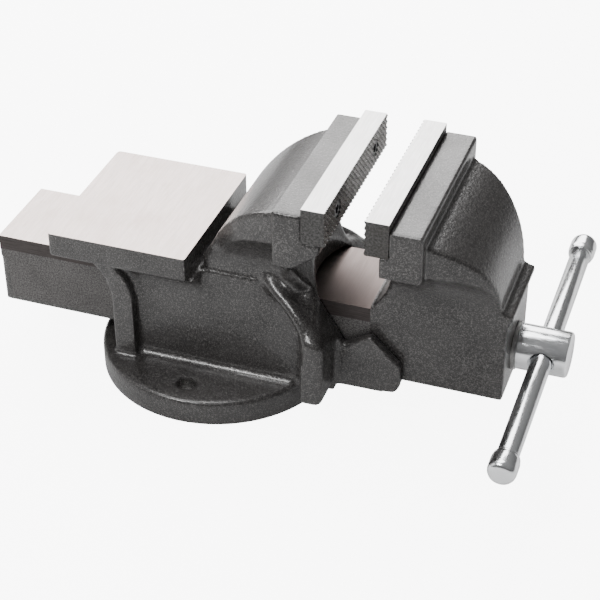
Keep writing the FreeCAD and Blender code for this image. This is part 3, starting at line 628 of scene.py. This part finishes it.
def tiltedBlock(low, high, axis, degrees, place):
    bm = block(low, high)
    bmesh.ops.transform(bm, matrix=Matrix.Translation(Vector(place) * mm) @
                        Matrix.Rotation(math.radians(degrees), 4, axis), verts=bm.verts)
    return bm


def smoothed(bm, verts, rounds):
    for turn in range(rounds):
        bmesh.ops.smooth_vert(bm, verts=verts, factor=0.5, use_axis_x=True, use_axis_y=True, use_axis_z=True)


def addRib(bm, points, side):
    # short rods from centre to centre, with a ball where two of them meet
    for first, second in zip(points, points[1:]):
        start, end = [Vector((point[0], point[1] * side, point[2])) for point in (first, second)]
        addRod(bm, (start + end) / 2, end - start, second[3], (end - start).length, 24)
        bmesh.ops.create_icosphere(bm, subdivisions=2, radius=second[3] * mm,
                                   matrix=Matrix.Translation(end * mm))


def makeCasting(look, materials):
    # the rough casting is the node's shape with its edges rounded off, then the machined faces are cut
    trimmed = addPiece("trimmed", freshCopy(look["node"]), materials)
    combined(trimmed, [("DIFFERENCE", tiltedBlock(*trim), 0) for trim in look["trims"]])
    bm = bmesh.new()
    bm.from_mesh(trimmed.data)
    discard(trimmed)
    for side in (1, -1):
        addRib(bm, look["rib"], side)
    for low, high in look["stock"]:
        addBlock(bm, low, high)
    if look["underStock"]:
        middle, radius, length = look["underStock"]
        addRod(bm, middle, (0, 0, 1), radius, length, 128)
    casting = addPiece(look["node"] + "_casting", bm, materials)
    skin = casting.modifiers.new("skin", "REMESH")
    skin.mode = "VOXEL"
    skin.voxel_size = look["voxel"] * mm
    combined(casting, [])
    bm = bmesh.new()
    bm.from_mesh(casting.data)
    smoothed(bm, bm.verts, look["smoothing"])
    if look["softZone"]:
        low, high, rounds = look["softZone"]
        near = [vert for vert in bm.verts if low[0] < vert.co.x / mm < high[0]
                and low[1] < abs(vert.co.y) / mm < high[1] and low[2] < vert.co.z / mm < high[2]]
        smoothed(bm, near, rounds)
    for face in bm.faces:
        face.material_index = 0
    bm.to_mesh(casting.data)
    bm.free()
    cuts = [("DIFFERENCE", block(low, high), index) for low, high, index in look["boxes"]]
    cuts += [("DIFFERENCE", rod(*hole), 2) for hole in look["holes"]]
    combined(casting, cuts)
    softEdges(casting, look["sharp"])
    install(casting, look["node"])
    print(casting.name, "triangles:", sum(len(face.vertices) - 2 for face in casting.data.polygons))


castingFinishes = [castPaint, ground["groundIron"], ground["toothSteel"], ground["groundBandPaintedReflection"],
                   ground["slideSide"]]
makeCasting(bodyCasting, castingFinishes)
makeCasting(jawCasting, castingFinishes)


# ---- serrated plates

plateLook = {
    "slot": "jaw_steel",
    "half": 75.0,
    "foot": 169.7,
    "top": 197.5,
    "thick": 18.3,
    "toothPitch": 3.6,
    "toothHeight": 1.5,
    "screwHalf": 45.0,
    "screwHigh": 183.6,
    "headHole": 6.9,
    "headDepth": 9.5,
    "shankHole": 4.4,
    "sharp": 25,
    # name: the gripping face along X, and the way the plate runs from it, 1 towards +X or -1 towards -X
    "plates": {"fixed_jaw_plate": (112.2, -1), "moving_jaw_plate": (139.3, 1)},
}


def makePlate(name, face, forwards):
    # a turned grid is drawn up into pyramids, cut to the plate's outline and given its thickness
    look = plateLook
    middle = (look["foot"] + look["top"]) / 2
    tall = look["top"] - look["foot"]
    across = int(2 * look["half"] * 1.1 / look["toothPitch"])
    bm = bmesh.new()
    bmesh.ops.create_grid(bm, x_segments=across, y_segments=across,
                          size=across * look["toothPitch"] / 2 * mm)
    bmesh.ops.rotate(bm, cent=(0, 0, 0), matrix=Matrix.Rotation(math.radians(45), 3, "Z"), verts=bm.verts)
    for axis, reach in (((1, 0, 0), look["half"]), ((0, 1, 0), tall / 2)):
        for side in (1, -1):
            normal = Vector(axis) * side
            keep = normal * (reach + look["toothPitch"]) * mm
            bmesh.ops.bisect_plane(bm, geom=bm.verts[:] + bm.edges[:] + bm.faces[:], plane_co=keep,
                                   plane_no=normal, clear_outer=True)
    bmesh.ops.poke(bm, faces=bm.faces, offset=look["toothHeight"] * mm)
    for axis, reach in (((1, 0, 0), look["half"]), ((0, 1, 0), tall / 2)):
        for side in (1, -1):
            normal = Vector(axis) * side
            bmesh.ops.bisect_plane(bm, geom=bm.verts[:] + bm.edges[:] + bm.faces[:],
                                   plane_co=normal * reach * mm, plane_no=normal, clear_outer=True)
    rim = [edge for edge in bm.edges if edge.is_boundary]
    walls = bmesh.ops.extrude_edge_only(bm, edges=rim)["geom"]
    for vert in [item for item in walls if isinstance(item, bmesh.types.BMVert)]:
        vert.co.z = (look["toothHeight"] - look["thick"]) * mm
    bmesh.ops.holes_fill(bm, edges=[edge for edge in bm.edges if edge.is_boundary], sides=0)
    bmesh.ops.translate(bm, vec=(0, 0, -look["toothHeight"] * mm), verts=bm.verts)
    # the grid's X, Y and Z become the width, the height and the way out of the gripping face
    turned = Matrix(((0, 0, -forwards), (forwards, 0, 0), (0, 1, 0)))
    bmesh.ops.transform(bm, matrix=Matrix.Translation(Vector((face, 0, middle)) * mm) @ turned.to_4x4(),
                        verts=bm.verts)
    bmesh.ops.recalc_face_normals(bm, faces=bm.faces)
    for item in bm.faces:
        if item.normal.z > 0.9:
            item.material_index = 1
        elif abs(item.normal.y) > 0.9 or item.normal.x * forwards > 0.9:
            item.material_index = 2
    finishes = [ground["toothSteel"], ground["groundSteel"], ground["plateEnd"]]
    plate = addPiece(name + "_serrated", bm, finishes)
    cuts = []
    for side in (1, -1):
        seat = (face, side * look["screwHalf"], look["screwHigh"])
        cuts.append(("DIFFERENCE", rod(seat, (1, 0, 0), look["headHole"], look["headDepth"] * 2, 40), 2))
        cuts.append(("DIFFERENCE", rod(seat, (1, 0, 0), look["shankHole"], look["thick"] * 3, 32), 2))
    combined(plate, cuts)
    softEdges(plate, look["sharp"])
    install(plate, name)


for name, (face, forwards) in plateLook["plates"].items():
    makePlate(name, face, forwards)
print("jaw plates made:", len(plateLook["plates"]))


# ---- spindle and handle

spindleLook = {
    "slot": "plated_steel",
    "high": 63.5,
    "tilt": 1.8,
    "segments": 96,
    # along the axis and radius: the journal, the shoulder and the head with its eased edges
    "headProfile": [(180, 0), (180, 10.4), (211.5, 10.4), (211.65, 13.5), (239.9, 13.5), (239.9, 16.4),
                    (241.0, 17.5), (276.4, 17.5), (277.9, 17.0), (278.7, 15.9), (278.9, 14.4), (278.9, 0)],
    # the thread: its ends along the axis, its lead, and the radius of its crest and its root
    "threadFrom": -140.0,
    "threadTo": 211.6,
    "pitch": 5.0,
    "crest": 12.98,
    "root": 10.3,
    "stepsPerTurn": 30,
    "crossPlace": 260.2,
    "crossHole": 8.7,
    # the countersink at each mouth of the cross hole: its narrow and wide radius, middle and depth
    "mouthNarrow": 7.83,
    "mouthWide": 12.19,
    "mouthPlace": 17.2,
    "mouthDepth": 5.0,
    "pinPlace": 189.2,
    "pinHole": 2.15,
    "sharp": 32,
}


def onSpindle():
    look = spindleLook
    return Matrix.Translation((0, 0, look["high"] * mm)) @ Matrix.Rotation(math.radians(look["tilt"]), 4, "X")


def makeThread():
    # one pitch of a trapezoidal ridge, wound along the axis as a right-handed screw
    look = spindleLook
    pitch, crest, root = look["pitch"], look["crest"], look["root"]
    turns = int((look["threadTo"] - look["threadFrom"]) / pitch) + 3
    start = look["threadFrom"] - pitch
    outline = [(0, root), (0.3, root), (0.37, crest - 0.35), (0.42, crest), (0.63, crest),
               (0.68, crest - 0.35), (0.75, root), (1, root)]
    bm = bmesh.new()
    verts = [bm.verts.new(((start + along * pitch) * mm, radius * mm, 0)) for along, radius in outline]
    edges = [bm.edges.new(pair) for pair in zip(verts, verts[1:])]
    steps = turns * look["stepsPerTurn"]
    bmesh.ops.spin(bm, geom=verts + edges, cent=(0, 0, 0), axis=(1, 0, 0), angle=math.tau * turns,
                   steps=steps, dvec=(pitch * mm / look["stepsPerTurn"], 0, 0))
    bmesh.ops.remove_doubles(bm, verts=bm.verts, dist=2e-6)
    for along, side in ((look["threadFrom"], -1), (look["threadTo"], 1)):
        bmesh.ops.bisect_plane(bm, geom=bm.verts[:] + bm.edges[:] + bm.faces[:],
                               plane_co=(along * mm, 0, 0), plane_no=(side, 0, 0), clear_outer=True)
    bmesh.ops.holes_fill(bm, edges=[edge for edge in bm.edges if edge.is_boundary], sides=0)
    bmesh.ops.recalc_face_normals(bm, faces=bm.faces)
    bmesh.ops.transform(bm, matrix=onSpindle(), verts=bm.verts)
    return bm


def makeSpindle():
    look = spindleLook
    spindle = addPiece("lead_screw_cut", spunFrom(look["headProfile"], look["segments"], onSpindle()),
                       [plated, ground["screwSteel"]])
    lean = math.radians(look["tilt"])
    across = Vector((0, math.cos(lean), math.sin(lean)))
    upright = Vector((0, -math.sin(lean), math.cos(lean)))
    middle = Vector((look["crossPlace"], 0, look["high"]))
    tools = [("UNION", makeThread(), 1), ("DIFFERENCE", rod(middle, across, look["crossHole"], 60, 64), 0)]
    for side in (1, -1):
        mouth = bmesh.new()
        facing = Vector((0, 0, 1)).rotation_difference(across * side).to_matrix().to_4x4()
        reach = middle + across * side * look["mouthPlace"]
        bmesh.ops.create_cone(mouth, cap_ends=True, segments=64, radius1=look["mouthNarrow"] * mm,
                              radius2=look["mouthWide"] * mm, depth=look["mouthDepth"] * mm,
                              matrix=Matrix.Translation(reach * mm) @ facing)
        tools.append(("DIFFERENCE", mouth, 0))
    pinSpot = Vector((look["pinPlace"], 0, look["high"]))
    tools.append(("DIFFERENCE", rod(pinSpot, upright, look["pinHole"], 60, 24), 1))
    combined(spindle, tools)
    softEdges(spindle, look["sharp"])
    install(spindle, "lead_screw")
    print("lead_screw faces:", len(spindle.data.polygons))


makeSpindle()

handleLook = {
    "slot": "plated_steel",
    "segments": 64,
    "place": 260.2,
    # along the handle and radius
    "bar": [(-137.0, 0), (-137.0, 7.6), (-136.4, 8.0), (140.4, 8.0), (141.0, 7.6), (141.0, 0)],
    # from the cap's open end: its bore, its rounded lip, a shallow groove, then the domed end
    "cap": [(14.0, 0), (14.0, 8.05), (0.0, 8.05), (0.0, 8.9), (0.5, 9.5), (1.5, 9.9), (2.2, 9.75), (3.0, 9.9),
            (4.2, 10.4), (5.5, 10.5), (14.2, 10.5), (16.4, 10.15), (18.2, 9.2), (19.4, 7.6), (19.9, 5.2),
            (20.0, 2.6), (20.0, 0)],
    # how far out each cap's open end sits
    "farCap": 127.0,
    "nearCap": 123.0,
    "sharp": 50,
}


def onHandle(start, turnedRound):
    # the handle's own line runs along Y, with its tilt, through the middle of the cross hole
    look = handleLook
    tilt = Matrix.Rotation(math.radians(spindleLook["tilt"]), 4, "X")
    line = tilt @ Matrix.Rotation(math.radians(90), 4, "Z")
    if turnedRound:
        line = line @ Matrix.Rotation(math.pi, 4, "Z")
    return (Matrix.Translation(Vector((look["place"], 0, spindleLook["high"])) * mm) @ line
            @ Matrix.Translation((start * mm, 0, 0)))


def makeHandle():
    look = handleLook
    for name, profile, start, turnedRound in (
            ("handle_bar", look["bar"], 0, False),
            ("handle_cap_far", look["cap"], look["farCap"], False),
            ("handle_cap_near", look["cap"], look["nearCap"], True)):
        shape = spunFrom(profile, look["segments"], onHandle(start, turnedRound))
        piece = addPiece(name + "_turned", shape, [plated])
        softEdges(piece, look["sharp"])
        install(piece, name)


makeHandle()
print("pieces made")

# what every node wears, the ones that a new piece stands for too
nodeFinishes = [
    (castPaint, ["fixed_body", "moving_jaw"]),
    (plated, ["lead_screw", "handle_bar", "handle_cap_near", "handle_cap_far"]),
    (ground["groundSteel"], ["fixed_jaw_plate", "moving_jaw_plate"]),
    (ground["blackSteel"], ["fixed_jaw_screw_near", "fixed_jaw_screw_far", "moving_jaw_screw_near",
                            "moving_jaw_screw_far"]),
    (ground["nutIron"], ["spindle_nut"]),
    (ground["washerSteel"], ["nut_bolt_front", "nut_bolt_rear", "nut_washer_front", "nut_washer_rear",
                             "thrust_washer", "spring_washer", "cotter_pin"]),
    (ground["springSteel"], ["spindle_spring"]),
]
for material, names in nodeFinishes:
    for name in names:
        nodes[name].data.materials.clear()
        nodes[name].data.materials.append(material)
print("nodes finished:", sum(len(names) for material, names in nodeFinishes))
